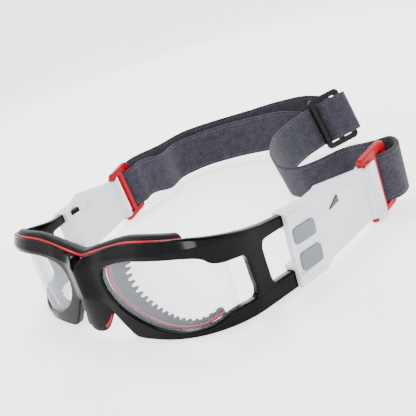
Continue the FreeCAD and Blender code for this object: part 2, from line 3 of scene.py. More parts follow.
import bmesh
import bpy
import numpy as np
from mathutils import Matrix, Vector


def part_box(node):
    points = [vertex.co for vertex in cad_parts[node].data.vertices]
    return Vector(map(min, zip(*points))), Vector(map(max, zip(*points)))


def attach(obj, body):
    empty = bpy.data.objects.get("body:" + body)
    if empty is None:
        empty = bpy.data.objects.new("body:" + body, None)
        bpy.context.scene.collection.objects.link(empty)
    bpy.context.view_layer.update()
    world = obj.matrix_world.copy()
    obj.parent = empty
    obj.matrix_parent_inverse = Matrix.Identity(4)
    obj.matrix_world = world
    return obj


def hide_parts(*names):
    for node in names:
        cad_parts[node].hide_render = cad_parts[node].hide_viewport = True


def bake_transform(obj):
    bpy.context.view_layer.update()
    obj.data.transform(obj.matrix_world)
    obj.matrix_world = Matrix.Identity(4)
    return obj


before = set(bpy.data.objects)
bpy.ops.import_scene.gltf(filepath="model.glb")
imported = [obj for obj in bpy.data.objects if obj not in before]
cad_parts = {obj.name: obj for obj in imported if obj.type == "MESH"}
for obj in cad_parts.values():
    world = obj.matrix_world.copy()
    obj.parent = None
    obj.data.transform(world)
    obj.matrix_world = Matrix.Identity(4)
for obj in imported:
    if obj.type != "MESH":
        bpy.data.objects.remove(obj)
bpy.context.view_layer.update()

# Frame. One injection-moulded piece of glossy black nylon: brow, two rims, bridge and arms.
# Each half is a flat bar with rounded edges that runs from the upper arm over the brow, down
# the nose side and back along the lower arm. A slanting strut ties the two arms together.
MM = 0.001
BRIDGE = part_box("frame")[0][1] / MM
FACE_SETBACK = 3.48
FACE_RADIUS = 210.0
FACE_TURN = math.radians(8.6)
TEMPLE_RADIUS = 41.2
ARM_TURN = math.radians(74.2)
TEMPLE_START = FACE_RADIUS * FACE_TURN
ARM_START = TEMPLE_START + TEMPLE_RADIUS * (ARM_TURN - FACE_TURN)
ARM_END = 96.5
WALL = 4.0
BACK_OF_LEDGE = 2.85
LEDGE_HEIGHT = 38.0
KEEL_DEPTH = 3.4
TEMPLE_LEAN = 3.4
LEAN_GROWS = (18.0, 52.0)
LEAN_FADES = (56.0, 92.0)


def soft_step(low, high, value):
    """0 below low, 1 above high, and an S-curve between."""
    f = np.clip((value - low) / (high - low), 0, 1)
    return f * f * (3 - 2 * f)


def around_face(along, depth, height):
    """Point at a length along the outer face and a depth behind it. In plan the face is an arc
    across the nose, a tighter arc round the temple, then a straight arm. Towards the temples
    the face leans out as it rises."""
    reach = np.abs(along)
    near_temple = soft_step(*LEAN_GROWS, reach) * (1 - soft_step(*LEAN_FADES, reach))
    depth = depth - TEMPLE_LEAN * near_temple * height / LEDGE_HEIGHT
    turn = np.minimum(reach / FACE_RADIUS, FACE_TURN)
    turn = turn + np.clip((reach - TEMPLE_START) / TEMPLE_RADIUS, 0, ARM_TURN - FACE_TURN)
    shallow = np.minimum(turn, FACE_TURN)
    tight = np.maximum(turn, FACE_TURN)
    straight = np.maximum(reach - ARM_START, 0)
    x = FACE_RADIUS * np.sin(shallow) + straight * math.cos(ARM_TURN)
    x = x + TEMPLE_RADIUS * (np.sin(tight) - math.sin(FACE_TURN)) - depth * np.sin(turn)
    y = FACE_RADIUS * (1 - np.cos(shallow)) + straight * math.sin(ARM_TURN) + FACE_SETBACK
    y = y + TEMPLE_RADIUS * (math.cos(FACE_TURN) - np.cos(tight)) + depth * np.cos(turn)
    return np.stack([np.where(along < 0, -x, x), BRIDGE + y, height + 0 * x], axis=-1)


def smooth_rows(rows, count):
    """Even steps along a smooth curve through given rows: cubic Hermite pieces whose
    tangents are the finite differences over chord length."""
    rows = np.asarray(rows, float)
    chord = np.concatenate([[0], np.cumsum(np.linalg.norm(np.diff(rows, axis=0), axis=1))])
    slope = np.gradient(rows, chord, axis=0)
    at = np.linspace(0, chord[-1], count)
    k = np.clip(np.searchsorted(chord, at, side="right") - 1, 0, len(chord) - 2)
    gap = (chord[k + 1] - chord[k])[:, None]
    f = (at - chord[k])[:, None] / gap
    return ((1 + 2 * f) * (1 - f) ** 2 * rows[k] + f * (1 - f) ** 2 * gap * slope[k]
            + f ** 2 * (3 - 2 * f) * rows[k + 1] + f ** 2 * (f - 1) * gap * slope[k + 1])


def tube_piece(name, rings, along=None, around=None, sharp=40):
    """Closed piece from a grid of rings of points in millimetres: quads join neighbouring
    rings, and one flat face closes each end. UV is length along and length around."""
    count, sides = rings.shape[:2]
    i = np.arange(count - 1)[:, None]
    j = np.arange(sides)[None, :]
    a = i * sides + j
    b = i * sides + (j + 1) % sides
    quads = np.stack([a, b, b + sides, a + sides], axis=-1).reshape(-1, 4)
    faces = quads.tolist() + [list(range(sides))[::-1],
                              list(range((count - 1) * sides, count * sides))]
    mesh = bpy.data.meshes.new(name)
    mesh.from_pydata((rings.reshape(-1, 3) * MM).tolist(), [], faces)
    if along is not None:
        u = np.stack([along[i], along[i], along[i + 1], along[i + 1]], axis=-1)
        v = np.stack([around[j], around[j + 1], around[j + 1], around[j]], axis=-1)
        u, v = np.broadcast_arrays(u, v)
        places = np.zeros((len(mesh.loops), 2))
        places[:quads.size] = np.stack([u.reshape(-1), v.reshape(-1)], axis=-1)
        mesh.uv_layers.new(name="UVMap").data.foreach_set("uv", places.reshape(-1))
    tidy_faces(mesh, sharp)
    piece = bpy.data.objects.new(name, mesh)
    bpy.context.scene.collection.objects.link(piece)
    return piece


def tidy_faces(mesh, sharp):
    """All faces outwards and smooth, with edges sharper than the given angle kept crisp."""
    work = bmesh.new()
    work.from_mesh(mesh)
    bmesh.ops.recalc_face_normals(work, faces=work.faces)
    work.to_mesh(mesh)
    work.free()
    mesh.shade_smooth()
    mesh.set_sharp_from_angle(angle=math.radians(sharp))


def mirror_piece(piece, name):
    """The same piece on the other side: X changes sign, and every face is turned back out."""
    mesh = piece.data.copy()
    mesh.name = name
    places = np.empty(len(mesh.vertices) * 3)
    mesh.vertices.foreach_get("co", places)
    places[0::3] *= -1
    mesh.vertices.foreach_set("co", places)
    mesh.flip_normals()
    twin = bpy.data.objects.new(name, mesh)
    bpy.context.scene.collection.objects.link(twin)
    return twin


def join_pieces(name, parts):
    """One object from several, keeping each one's faces."""
    with bpy.context.temp_override(active_object=parts[0], object=parts[0],
                                   selected_editable_objects=parts, selected_objects=parts):
        bpy.ops.object.join()
    parts[0].name = name
    parts[0].data.name = name
    return parts[0]


QUARTER = np.radians(np.linspace(0, 90, 7))
RISE = 1 - np.cos(QUARTER)
FALL = 1 - np.sin(QUARTER)
ACROSS_FRONT = np.linspace(0.1, 0.9, 19)


def flat_bar(inner, outer, front, back, edge, centre_cut=0.0):
    """Rings of a flat bar between two edge lines of (along, height): a rounded rectangle whose
    width is the gap between the lines and whose depth runs from front to back."""
    width = np.linalg.norm(outer - inner, axis=1)[:, None]
    outer_edge = edge * (1 - centre_cut)
    across = np.concatenate([
        edge * RISE + 0 * width, ACROSS_FRONT * width, width - outer_edge * FALL,
        width - outer_edge * RISE, edge * FALL + 0 * width], axis=1)
    ones = np.ones_like(width)
    depth = np.concatenate([
        front + edge * FALL * ones, front + 0 * ACROSS_FRONT * ones,
        front + outer_edge * RISE * ones, back - outer_edge * FALL * ones,
        back - edge * RISE * ones], axis=1)
    share = (across / width)[..., None]
    flat = inner[:, None, :] * (1 - share) + outer[:, None, :] * share
    return flat[..., 0], flat[..., 1], depth


# The bar's two edges in order, each as (length along the face, height): the windows and the
# lens opening on the inside, the brow, the bridge and the table line on the outside.
BAR_EDGES = [
    (96.5, 28.1, 96.5, 33.0), (91.0, 28.1, 91.0, 33.5), (86.5, 28.1, 86.5, 34.1),
    (83.0, 27.9, 82.5, 35.0), (79.0, 27.6, 78.0, 36.1), (74.6, 27.3, 73.0, 37.5),
    (69.0, 28.1, 68.0, 38.9), (64.0, 28.9, 63.0, 40.3), (60.4, 30.4, 59.0, 41.4),
    (57.6, 33.2, 55.5, 42.4), (52.0, 35.4, 50.5, 43.4), (46.0, 36.4, 44.5, 43.9),
    (39.0, 36.9, 37.0, 43.9), (31.9, 36.8, 29.0, 43.3), (25.5, 36.2, 21.5, 42.2),
    (19.8, 35.1, 14.5, 40.6), (15.4, 33.7, 8.2, 38.6), (12.6, 31.6, 2.6, 37.0),
    (11.3, 28.6, 0.0, 33.0), (11.1, 25.2, 0.0, 26.5), (11.9, 21.4, 0.0, 20.3),
    (13.6, 17.9, 4.0, 18.9), (16.3, 14.4, 7.6, 16.6), (19.3, 11.6, 10.2, 12.6),
    (22.6, 9.4, 12.9, 8.4), (26.2, 7.5, 15.6, 4.6), (30.0, 5.9, 18.9, 0.9),
    (34.8, 4.4, 25.0, 0.0), (40.7, 3.2, 33.0, 0.0), (46.5, 2.7, 41.5, 0.0),
    (52.0, 3.0, 49.0, 0.0), (57.5, 4.3, 56.0, 0.0), (62.5, 6.3, 62.0, 0.0),
    (67.5, 7.2, 67.5, 0.0), (72.6, 7.2, 73.0, 0.0), (77.0, 7.4, 77.5, 0.0),
    (82.0, 7.8, 82.0, 0.0), (87.0, 8.0, 87.0, 0.0), (96.5, 8.0, 96.5, 0.0)]
CREASE = [(0, 33.6), (8, 35.0), (15, 36.9), (35, 39.3), (50, 39.4), (58, 38.6), (68, 36.9),
          (82, 34.2), (100, 32.6)]
CREASE_LEAN = 0.56
MOST_LEAN = 2.3
EDGE_ROUND = 0.9


def frame_surface(along, height, depth):
    """Final place of a point of the flat bar: above the crease line the front leans back, the
    wall thins at the pad's ledge, and the bridge swells forward into a keel."""
    crease = np.interp(along, [a for a, z in CREASE], [z for a, z in CREASE])
    lean = np.clip((height - crease) * CREASE_LEAN, 0, MOST_LEAN) * soft_step(96, 70, along)
    thin = (WALL - BACK_OF_LEDGE) * soft_step(LEDGE_HEIGHT - 0.6, LEDGE_HEIGHT + 0.2, height)
    thin = thin * soft_step(55, 52, along) * soft_step(4, 12, along)
    keel = KEEL_DEPTH * np.exp(-(along / 5.0) ** 2) * soft_step(15, 20, height)
    back = WALL - thin
    front_part = 1 - depth / WALL
    return around_face(along, lean + depth * (back - lean) / WALL - keel * front_part, height)


edges = smooth_rows(BAR_EDGES, 620)
at_centre = np.exp(-(np.maximum(edges[:, 2], 0) / 0.8) ** 2)[:, None]
edges[:, 2:] = np.maximum(edges[:, 2:], 0)
half_bar = tube_piece("frame_left_half", frame_surface(
    *flat_bar(edges[:, :2], edges[:, 2:], 0.0, WALL, EDGE_ROUND, at_centre)))
strut_edges = smooth_rows([
    (71.0, 29.2, 87.5, 29.2), (73.2, 27.6, 85.0, 27.9), (74.6, 25.6, 84.0, 26.0),
    (75.2, 22.0, 83.9, 22.0), (75.7, 16.0, 84.3, 16.0), (76.2, 10.5, 84.8, 11.0),
    (75.6, 8.2, 85.6, 8.9), (73.8, 6.9, 87.2, 7.4)], 90)
strut = tube_piece("frame_left_strut", frame_surface(
    *flat_bar(strut_edges[:, :2], strut_edges[:, 2:], 0.05, WALL - 0.05, EDGE_ROUND)))
TONGUE_LENGTH = 13.0
TONGUE_HALF = 1.15
TONGUE_HEIGHTS = ((29.1, 31.6), (1.5, 6.3))
tongues = []
for low, high in TONGUE_HEIGHTS:
    loop = np.array([(-TONGUE_HALF, low), (TONGUE_HALF, low), (TONGUE_HALF, high),
                     (-TONGUE_HALF, high)])
    root_place = around_face(np.array(ARM_END), np.array(WALL / 2), np.array(0.0))
    back_steps = np.linspace(-1.0, TONGUE_LENGTH, 8)[:, None]
    rings = np.stack([root_place[0] + loop[:, 0] + 0 * back_steps,
                      root_place[1] + 0 * loop[:, 0] + back_steps,
                      loop[:, 1] + 0 * back_steps], axis=-1)
    tongues.append(tube_piece("frame_tongue", rings))
half = join_pieces("frame_half", [half_bar, strut] + tongues)
frame_body = join_pieces("frame_moulding", [half, mirror_piece(half, "frame_other_half")])


def noise_grain(tree, coordinates, scale, detail=3.0):
    """Noise texture on the given coordinates, for grain and uneven gloss."""
    noise = tree.nodes.new("ShaderNodeTexNoise")
    noise.inputs["Scale"].default_value = scale
    noise.inputs["Detail"].default_value = detail
    tree.links.new(coordinates, noise.inputs["Vector"])
    return noise.outputs["Fac"]


def spread(tree, value, low, high):
    """A 0 to 1 value brought to a range."""
    node = tree.nodes.new("ShaderNodeMapRange")
    node.inputs["To Min"].default_value = low
    node.inputs["To Max"].default_value = high
    tree.links.new(value, node.inputs["Value"])
    return node.outputs["Result"]


def colour_between(tree, value, dark, light):
    """A 0 to 1 value as a colour from dark to light."""
    ramp = tree.nodes.new("ShaderNodeValToRGB")
    ramp.color_ramp.elements[0].color = (*dark, 1)
    ramp.color_ramp.elements[1].color = (*light, 1)
    tree.links.new(value, ramp.inputs["Fac"])
    return ramp.outputs["Color"]


def add_bump(tree, shader, height, strength, distance):
    """Bump from a height value, on the shader's normal."""
    bump = tree.nodes.new("ShaderNodeBump")
    bump.inputs["Strength"].default_value = strength
    bump.inputs["Distance"].default_value = distance
    tree.links.new(height, bump.inputs["Height"])
    tree.links.new(bump.outputs["Normal"], shader.inputs["Normal"])


def new_finish(name):
    """Empty material, its node tree, its main shader and the object's own coordinates."""
    finish = bpy.data.materials.new(name)
    finish.use_nodes = True
    tree = finish.node_tree
    shader = tree.nodes["Principled BSDF"]
    own = tree.nodes.new("ShaderNodeTexCoord").outputs["Object"]
    return finish, tree, shader, own


def moulded(name, dark, light, gloss, grain_size, grain_depth):
    """Moulded plastic or rubber: colour drifts a little between two tones, the gloss is
    uneven, and a fine grain stands in the bump."""
    finish, tree, shader, own = new_finish(name)
    drift = noise_grain(tree, own, 60)
    grain = noise_grain(tree, own, 1 / (grain_size * MM), 2.0)
    tree.links.new(colour_between(tree, drift, dark, light), shader.inputs["Base Color"])
    tree.links.new(spread(tree, grain, *gloss), shader.inputs["Roughness"])
    add_bump(tree, shader, grain, 0.25, grain_depth * MM)
    return finish, shader


def give(piece, finish):
    """The piece shows one finish all over."""
    piece.data.materials.clear()
    piece.data.materials.append(finish)


gloss_black, shader = moulded("gloss_black_nylon", (0.0005, 0.0005, 0.0007),
                              (0.0012, 0.0012, 0.0015), (0.10, 0.18), 1.4, 0.015)
shader.inputs["Specular IOR Level"].default_value = 0.08
give(frame_body, gloss_black)
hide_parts("frame")
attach(frame_body, "frame")

# Lenses. Clear polycarbonate, 2 mm thick, curved with the front and snapped into a groove
# round the rim. The temple edge of each lens is bare.
lens_clear, tree, shader, own = new_finish("clear_polycarbonate")
edge_view = tree.nodes.new("ShaderNodeLayerWeight")
edge_view.inputs["Blend"].default_value = 0.25
tree.links.new(spread(tree, edge_view.outputs["Facing"], 0.03, 0.75), shader.inputs["Alpha"])
haze = noise_grain(tree, own, 35)
tree.links.new(spread(tree, haze, 0.02, 0.06), shader.inputs["Roughness"])
tree.links.new(colour_between(tree, haze, (0.30, 0.33, 0.38), (0.40, 0.43, 0.48)),
               shader.inputs["Base Color"])
for side in ("left", "right"):
    give(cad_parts[side + "_lens"], lens_clear)

# Face skirts. Soft black rubber walls behind the lens, along its nose side and its lower
# side. The free edge is cut into a comb of small teeth that bend against the face.
LENS_LEFT = 11.2
LENS_LOW = 2.8
LENS_WIDE = 47.0
LENS_HIGH = 34.0
SKIRT_SHARES = [(0.03, 0.86), (0.0, 0.66), (0.05, 0.44), (0.21, 0.22), (0.40, 0.09),
                (0.62, 0.01), (0.80, 0.0), (0.97, 0.09)]
SKIRT_LEAN = 0.8
SKIRT_RISE = 0.02
TEMPLE_FALL = 0.50
STRIP_DEPTH = (4.1, 5.4)
SKIRT_DEPTH = (5.5, 12.9)
TOOTH_STEP = 3.3
TOOTH_LONG = 2.3


def along_from_side(x):
    """Length along the face whose point stands this far out: the plan read backwards."""
    table = np.linspace(0, ARM_END, 800)
    return np.interp(x, around_face(table, 0.0, 0.0)[:, 0], table)


def skirt_rings(depths, thickness, steps, tooth):
    """Wall behind the rim: the opening's line moves in towards the eye as it goes back, and
    the free edge is a square wave with rounded corners, tanh of a sine."""
    shares = np.array(SKIRT_SHARES)
    x = LENS_LEFT + shares[:, 0] * LENS_WIDE
    z = LENS_LOW + shares[:, 1] * LENS_HIGH
    nose_side = np.clip(1 - np.arange(len(shares)) / 4.0, 0, 1)
    rows = smooth_rows(np.stack([x, z, nose_side], axis=1), steps)
    length = np.concatenate([[0], np.cumsum(np.hypot(*np.diff(rows[:, :2], axis=0).T))])
    comb = 0.5 + 0.5 * np.tanh(2.5 * np.sin(2 * math.pi * length / TOOTH_STEP))
    falling = 1 - TEMPLE_FALL * soft_step(0.35, 1.0, length / length[-1])
    free_edge = depths[0] + (depths[1] - depths[0]) * falling - tooth * falling * comb
    heading = np.gradient(rows[:, :2], length, axis=0)
    normal = np.stack([-heading[:, 1], heading[:, 0]], axis=1)
    share = np.array([0.0, 0.35, 0.7, 0.93, 1.0, 0.93, 0.7, 0.35, 0.0, -0.02])
    side = np.array([1.0, 1.0, 1.0, 0.8, 0.0, -0.8, -1.0, -1.0, -1.0, 0.0])
    depth = depths[0] + (free_edge - depths[0])[:, None] * share
    inwards = SKIRT_LEAN * (depth - WALL)
    x = rows[:, :1] + inwards * rows[:, 2:] + normal[:, :1] * side * thickness / 2
    z = rows[:, 1:2] + SKIRT_RISE * inwards + normal[:, 1:] * side * thickness / 2
    return around_face(along_from_side(x), depth, np.maximum(z, 0.3))


soft_black, shader = moulded("soft_black_rubber", (0.002, 0.002, 0.003), (0.006, 0.006, 0.008),
                             (0.42, 0.60), 0.5, 0.03)
shader.inputs["Specular IOR Level"].default_value = 0.12
soft_red, shader = moulded("soft_red_rubber", (0.26, 0.0, 0.004), (0.36, 0.0, 0.006),
                           (0.30, 0.45), 0.5, 0.02)
shader.inputs["Specular IOR Level"].default_value = 0.3
left_skirt = tube_piece("left_skirt_comb", skirt_rings(SKIRT_DEPTH, 1.2, 520, TOOTH_LONG))
left_strip = tube_piece("left_skirt_band", skirt_rings(STRIP_DEPTH, 1.3, 160, 0.0))
for left, finish, slot, node in ((left_skirt, soft_black, "rubber_black", "skirt"),
                                 (left_strip, soft_red, "rubber_red", "skirt_strip")):
    right = mirror_piece(left, left.name.replace("left", "right"))
    for piece, side in ((left, "left"), (right, "right")):
        give(piece, finish)
        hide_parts(side + "_" + node)
        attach(piece, "frame")

# Nose pad. A soft black rubber cup under the bridge, thicker in the middle, with a red rubber
# stripe let into each side.
CUP_LOW = 2.6
CUP_SIDE_RISE = 9.9
CUP_TOP = 19.6
CUP_TOP_DROP = 3.2
STRIPE_BAND = (1.4, 2.8)
CUP_HALF = 8.6
CUP_BACK = 7.5
CUP_SETBACK = 1.7
CUP_WALL = 2.0


def cup_rings(turns, low, high, proud, thickness, bulge):
    """Rings up the cup: the plan is a half ellipse turned from the middle, and the wall is a
    rounded bar between the low and high lines, swollen in the middle."""
    turns = np.radians(turns)[:, None]
    around = np.linspace(0, 2 * math.pi, 25)[None, :-1]
    up = 0.5 - 0.5 * np.sign(np.cos(around)) * np.abs(np.cos(around)) ** 0.6
    out = np.sign(np.sin(around)) * np.abs(np.sin(around)) ** 0.6 * thickness / 2
    out = proud + out * (1 + bulge * np.cos(turns) ** 2 * (1 - (2 * up - 1) ** 2))
    x = (CUP_HALF + out) * np.sin(turns)
    y = CUP_SETBACK + CUP_BACK * (1 - np.cos(turns)) - out * np.cos(turns)
    z = low[:, None] + (high - low)[:, None] * up
    return np.stack([x, BRIDGE + y, z], axis=-1)


turns = np.linspace(-76, 76, 90)
rise = np.sin(np.radians(turns)) ** 2
nose_cup = tube_piece("nose_cup", cup_rings(
    turns, CUP_LOW + CUP_SIDE_RISE * rise ** 2, CUP_TOP - CUP_TOP_DROP * rise, 0.0, CUP_WALL,
    0.15))
give(nose_cup, soft_black)
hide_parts("nose_pad")
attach(nose_cup, "frame")
turns = np.linspace(32, 58, 40)
lower_edge = CUP_LOW + CUP_SIDE_RISE * np.sin(np.radians(turns)) ** 4
left_stripe = tube_piece("left_nose_band", cup_rings(
    turns, lower_edge + STRIPE_BAND[0], lower_edge + STRIPE_BAND[1], CUP_WALL / 2 + 0.05, 0.9,
    0.0))
right_stripe = mirror_piece(left_stripe, "right_nose_band")
for piece, side in ((left_stripe, "left"), (right_stripe, "right")):
    give(piece, soft_red)
    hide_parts(side + "_nose_stripe")
    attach(piece, "frame")

# Brow pad. A black foam-rubber cushion behind the brow, on a thin red rubber strip that shows
# as a line between the pad and the frame. Both dip over the nose.
BROW_HEIGHTS = [(0, 37.2), (8, 39.0), (18, 41.4), (30, 43.7), (42, 43.9), (53, 42.6)]


def brow_rings(near, far, low, rise, steps, squareness, end_round):
    """Rounded bar along the brow: a superellipse section between a low line and the brow's
    own edge, closing to rounded ends."""
    half = np.array(BROW_HEIGHTS)
    rows = smooth_rows(np.concatenate([half[:0:-1] * [-1, 1], half]), steps)
    top = rows[:, 1:] + rise
    bottom = np.minimum(low, top - 0.9)
    around = np.linspace(0, 2 * math.pi, 33)[None, :-1]
    c = np.sign(np.cos(around)) * np.abs(np.cos(around)) ** squareness
    s = np.sign(np.sin(around)) * np.abs(np.sin(around)) ** squareness
    to_end = np.clip((rows[-1, 0] - np.abs(rows[:, :1])) / end_round, 0, 1)
    full = np.sqrt(1 - (1 - to_end) ** 2) * 0.96 + 0.04
    depth = (near + far) / 2 + c * (far - near) / 2 * full
    height = (top + bottom) / 2 + s * (top - bottom) / 2 * (0.55 + 0.45 * full)
    return around_face(rows[:, :1] + 0 * depth, depth, height)


brow_strip = tube_piece("brow_band", brow_rings(2.95, 4.02, 38.1, 0.4, 260, 0.35, 1.0))
give(brow_strip, soft_red)
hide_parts("brow_strip")
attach(brow_strip, "frame")
brow_pad = tube_piece("brow_cushion", brow_rings(4.1, 8.7, 34.8, 1.55, 300, 0.55, 3.0))
give(brow_pad, soft_black)
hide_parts("brow_pad")
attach(brow_pad, "frame")

# Strap clips. Frosted clear plastic, moulded in one with the flat connector to the strap
# ring. Each is pushed over the two tongues of an arm. Grey rubber grips sit in its outer face.
frosted, tree, shader, own = new_finish("frosted_clear_plastic")
cloud = noise_grain(tree, own, 45)
grain = noise_grain(tree, own, 900)
tree.links.new(colour_between(tree, cloud, (0.60, 0.62, 0.67), (0.74, 0.74, 0.77)),
               shader.inputs["Base Color"])
tree.links.new(spread(tree, grain, 0.28, 0.42), shader.inputs["Roughness"])
tree.links.new(spread(tree, cloud, 0.72, 0.84), shader.inputs["Alpha"])
add_bump(tree, shader, grain, 0.2, 0.02 * MM)
shader.inputs["Subsurface Weight"].default_value = 0.15
shader.inputs["Subsurface Radius"].default_value = (1.0, 0.9, 0.85)
shader.inputs["Subsurface Scale"].default_value = 2.5 * MM

grip_grey, tree, shader, own = new_finish("grey_grip_rubber")
ribs = tree.nodes.new("ShaderNodeTexWave")
ribs.wave_type = "BANDS"
ribs.bands_direction = "Z"
ribs.inputs["Scale"].default_value = 1 / (1.5 * MM)
ribs.inputs["Distortion"].default_value = 0.0
tree.links.new(own, ribs.inputs["Vector"])
tone = noise_grain(tree, own, 120)
tree.links.new(colour_between(tree, tone, (0.085, 0.095, 0.115), (0.13, 0.14, 0.165)),
               shader.inputs["Base Color"])
tree.links.new(spread(tree, tone, 0.40, 0.55), shader.inputs["Roughness"])
add_bump(tree, shader, ribs.outputs["Fac"], 0.3, 0.08 * MM)
latch_black = moulded("latch_black_plastic", (0.010, 0.010, 0.011),
                      (0.018, 0.018, 0.020), (0.30, 0.40), 0.6, 0.02)[0]
for side in ("left", "right"):
    give(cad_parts[side + "_clip"], frosted)
    give(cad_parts[side + "_upper_grip"], grip_grey)
    give(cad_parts[side + "_lower_grip"], grip_grey)
    give(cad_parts[side + "_latch"], latch_black)

# Strap rings. Glossy red plastic with three upright bars: the connector turns on the first,
# and the strap goes through the slot beside the last.
ring_red, shader = moulded("gloss_red_plastic", (0.24, 0.0, 0.005), (0.34, 0.0, 0.008),
                           (0.14, 0.24), 0.9, 0.012)
shader.inputs["Specular IOR Level"].default_value = 0.1
for side in ("left", "right"):
    give(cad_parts[side + "_ring"], ring_red)

# Strap. Charcoal elastic webbing 25 mm wide, woven with fine ribs and flecked light and dark.
# It runs from the sewn end on the slider round the right ring and back, over the slider's
# bars, then round a loose fold to the left ring, where its end is sewn down.
STRAP_WIDE = 25.0
STRAP_THICK = 1.6
RING_LEAN = math.radians(8.0)
RING_HEADING = math.radians(82.22)
RING_AT = (79.8, BRIDGE + 109.8, 16.4)
RING_SLOT = 12.8
SLIDER_AT = np.array([18.8, BRIDGE + 212.8, 21.0])
SLIDER_AHEAD = np.array([0.568, 0.814, 0.106])
SLIDER_UP = np.array([-0.335, 0.112, 0.936])
SLIDER_OUT = np.cross(SLIDER_AHEAD, SLIDER_UP)
RING_REACH = RING_AT[0]


def at_ring(side, ahead, out):
    """Middle of the strap beside a ring's rear slot, and its lean, in the ring's directions."""
    ahead = ahead + RING_SLOT
    lean = -math.tan(RING_LEAN)
    return (side * (RING_AT[0] + ahead * math.cos(RING_HEADING) + out * math.sin(RING_HEADING)),
            RING_AT[1] + ahead * math.sin(RING_HEADING) - out * math.cos(RING_HEADING),
            RING_AT[2] + ahead * math.sin(RING_LEAN),
            side * lean * math.cos(RING_HEADING), lean * math.sin(RING_HEADING))


def at_slider(ahead, out):
    """Middle of the strap beside the slider, and its lean, in the slider's directions."""
    x, y, z = SLIDER_AT + SLIDER_AHEAD * ahead + SLIDER_OUT * out
    return x, y, z, SLIDER_UP[0] / SLIDER_UP[2], SLIDER_UP[1] / SLIDER_UP[2]


def at_back(share, back, height, lean_x=0.0, lean_y=0.0):
    """Middle of the strap on the loop behind the goggles, and its lean."""
    return share * RING_REACH, BRIDGE + back, height, lean_x, lean_y


def webbing(name, route, steps):
    """Webbing carried along a smooth route. Its width leans with the route, its thickness
    stands across both, and its section is a flat oval with rounded edges."""
    rows = smooth_rows(route, steps)
    centre = rows[:, :3]
    lean = np.concatenate([rows[:, 3:], np.ones((steps, 1))], axis=1)
    lean /= np.linalg.norm(lean, axis=1)[:, None]
    ahead = np.gradient(centre, axis=0)
    normal = np.cross(ahead, lean)
    normal /= np.linalg.norm(normal, axis=1)[:, None]
    side = np.radians(np.linspace(-90, 90, 7))
    flat = np.linspace(-1, 1, 21)[1:-1]
    inset = STRAP_WIDE / 2 - STRAP_THICK / 2
    over = np.concatenate([inset + STRAP_THICK / 2 * np.cos(side), -flat * inset,
                           -inset - STRAP_THICK / 2 * np.cos(side), flat * inset])
    out = np.concatenate([STRAP_THICK / 2 * np.sin(side), 0 * flat + STRAP_THICK / 2,
                          -STRAP_THICK / 2 * np.sin(side), 0 * flat - STRAP_THICK / 2])
    rings = (centre[:, None] + lean[:, None] * over[None, :, None]
             + normal[:, None] * out[None, :, None])
    length = np.concatenate([[0], np.cumsum(np.linalg.norm(np.diff(centre, axis=0), axis=1))])
    around = np.concatenate([over, over[:1]])
    return tube_piece(name, rings, length, around, 60), length[-1]


right_route = [
    at_slider(9.8, -8.9), at_back(0.02, 224.5, 22.6, -0.20, 0.05),
    at_back(-0.25, 222.0, 22.2, -0.10, 0.05), at_back(-0.53, 216.0, 20.4),
    at_back(-0.80, 207.0, 19.2), at_back(-1.04, 190.0, 18.6), at_back(-1.09, 168.0, 18.2),
    at_ring(-1, 10.0, 5.6), at_ring(-1, 3.4, 5.2), at_ring(-1, -1.0, 0.0),
    at_ring(-1, 3.4, -5.2), at_ring(-1, 9.6, -5.6), at_back(-0.94, 152.0, 16.4, 0.0, -0.05),
    at_back(-1.00, 174.0, 15.6), at_back(-0.91, 191.0, 15.6), at_back(-0.68, 202.0, 16.6),
    at_back(-0.40, 206.0, 18.2, -0.05, 0.0), at_back(-0.12, 205.5, 19.6, -0.10, 0.0),
    at_slider(-12.4, -6.7)]
left_route = [
    at_slider(-11.9, -2.5), at_back(0.075, 189.0, 17.6, -0.30, 0.10),
    at_back(0.065, 172.0, 16.2, -0.30, 0.0), at_back(0.125, 155.5, 15.2, -0.20, -0.10),
    at_back(0.245, 139.5, 14.8, -0.10, -0.30), at_back(0.36, 130.5, 14.2, 0.05, -0.50),
    at_back(0.49, 129.0, 13.8, 0.0, -0.50), at_back(0.61, 134.5, 14.4, -0.10, -0.45),
    at_back(0.73, 140.5, 16.0, -0.10, -0.30), at_ring(1, 12.0, -6.6), at_ring(1, 15.6, -1.0),
    at_ring(1, 11.4, 4.6), at_ring(1, 3.6, 5.2), at_ring(1, -1.0, 0.2), at_ring(1, 2.6, -4.8),
    at_ring(1, 7.4, -5.0)]
fold_route = [at_slider(*place) for place in (
    (9.8, -8.9), (12.6, -4.6), (13.2, 0.0), (11.4, 3.6), (6.5, 5.0), (0.0, 5.0), (-4.2, 3.6),
    (-5.4, 0.0), (-6.6, -1.9), (-9.0, -2.5), (-11.9, -2.5))]
sewn_route = [at_slider(*place) for place in (
    (-12.4, -6.7), (-5.0, -6.0), (0.6, -3.9), (2.7, -0.6), (1.4, 2.4), (-1.4, 2.4),
    (-2.9, -0.6), (-4.4, -3.4), (-8.0, -4.4), (-11.7, -4.4))]

webbing_grey, tree, shader, own = new_finish("charcoal_elastic_webbing")
woven = tree.nodes.new("ShaderNodeUVMap")
woven.uv_map = "UVMap"
place = tree.nodes.new("ShaderNodeSeparateXYZ")
tree.links.new(woven.outputs["UV"], place.inputs["Vector"])


def arithmetic(tree, operation, first, second=None):
    """One step of arithmetic between two values or numbers."""
    node = tree.nodes.new("ShaderNodeMath")
    node.operation = operation
    for socket, value in zip(node.inputs, (first, second)):
        if isinstance(value, (int, float)):
            socket.default_value = value
        elif value is not None:
            tree.links.new(value, socket)
    return node.outputs["Value"]


def thread_wave(tree, value, step):
    """Rise and fall of threads that repeat every given step."""
    turns = arithmetic(tree, "MULTIPLY", value, 2 * math.pi / step)
    return arithmetic(tree, "ADD", arithmetic(tree, "MULTIPLY", arithmetic(tree, "SINE", turns),
                                              0.5), 0.5)


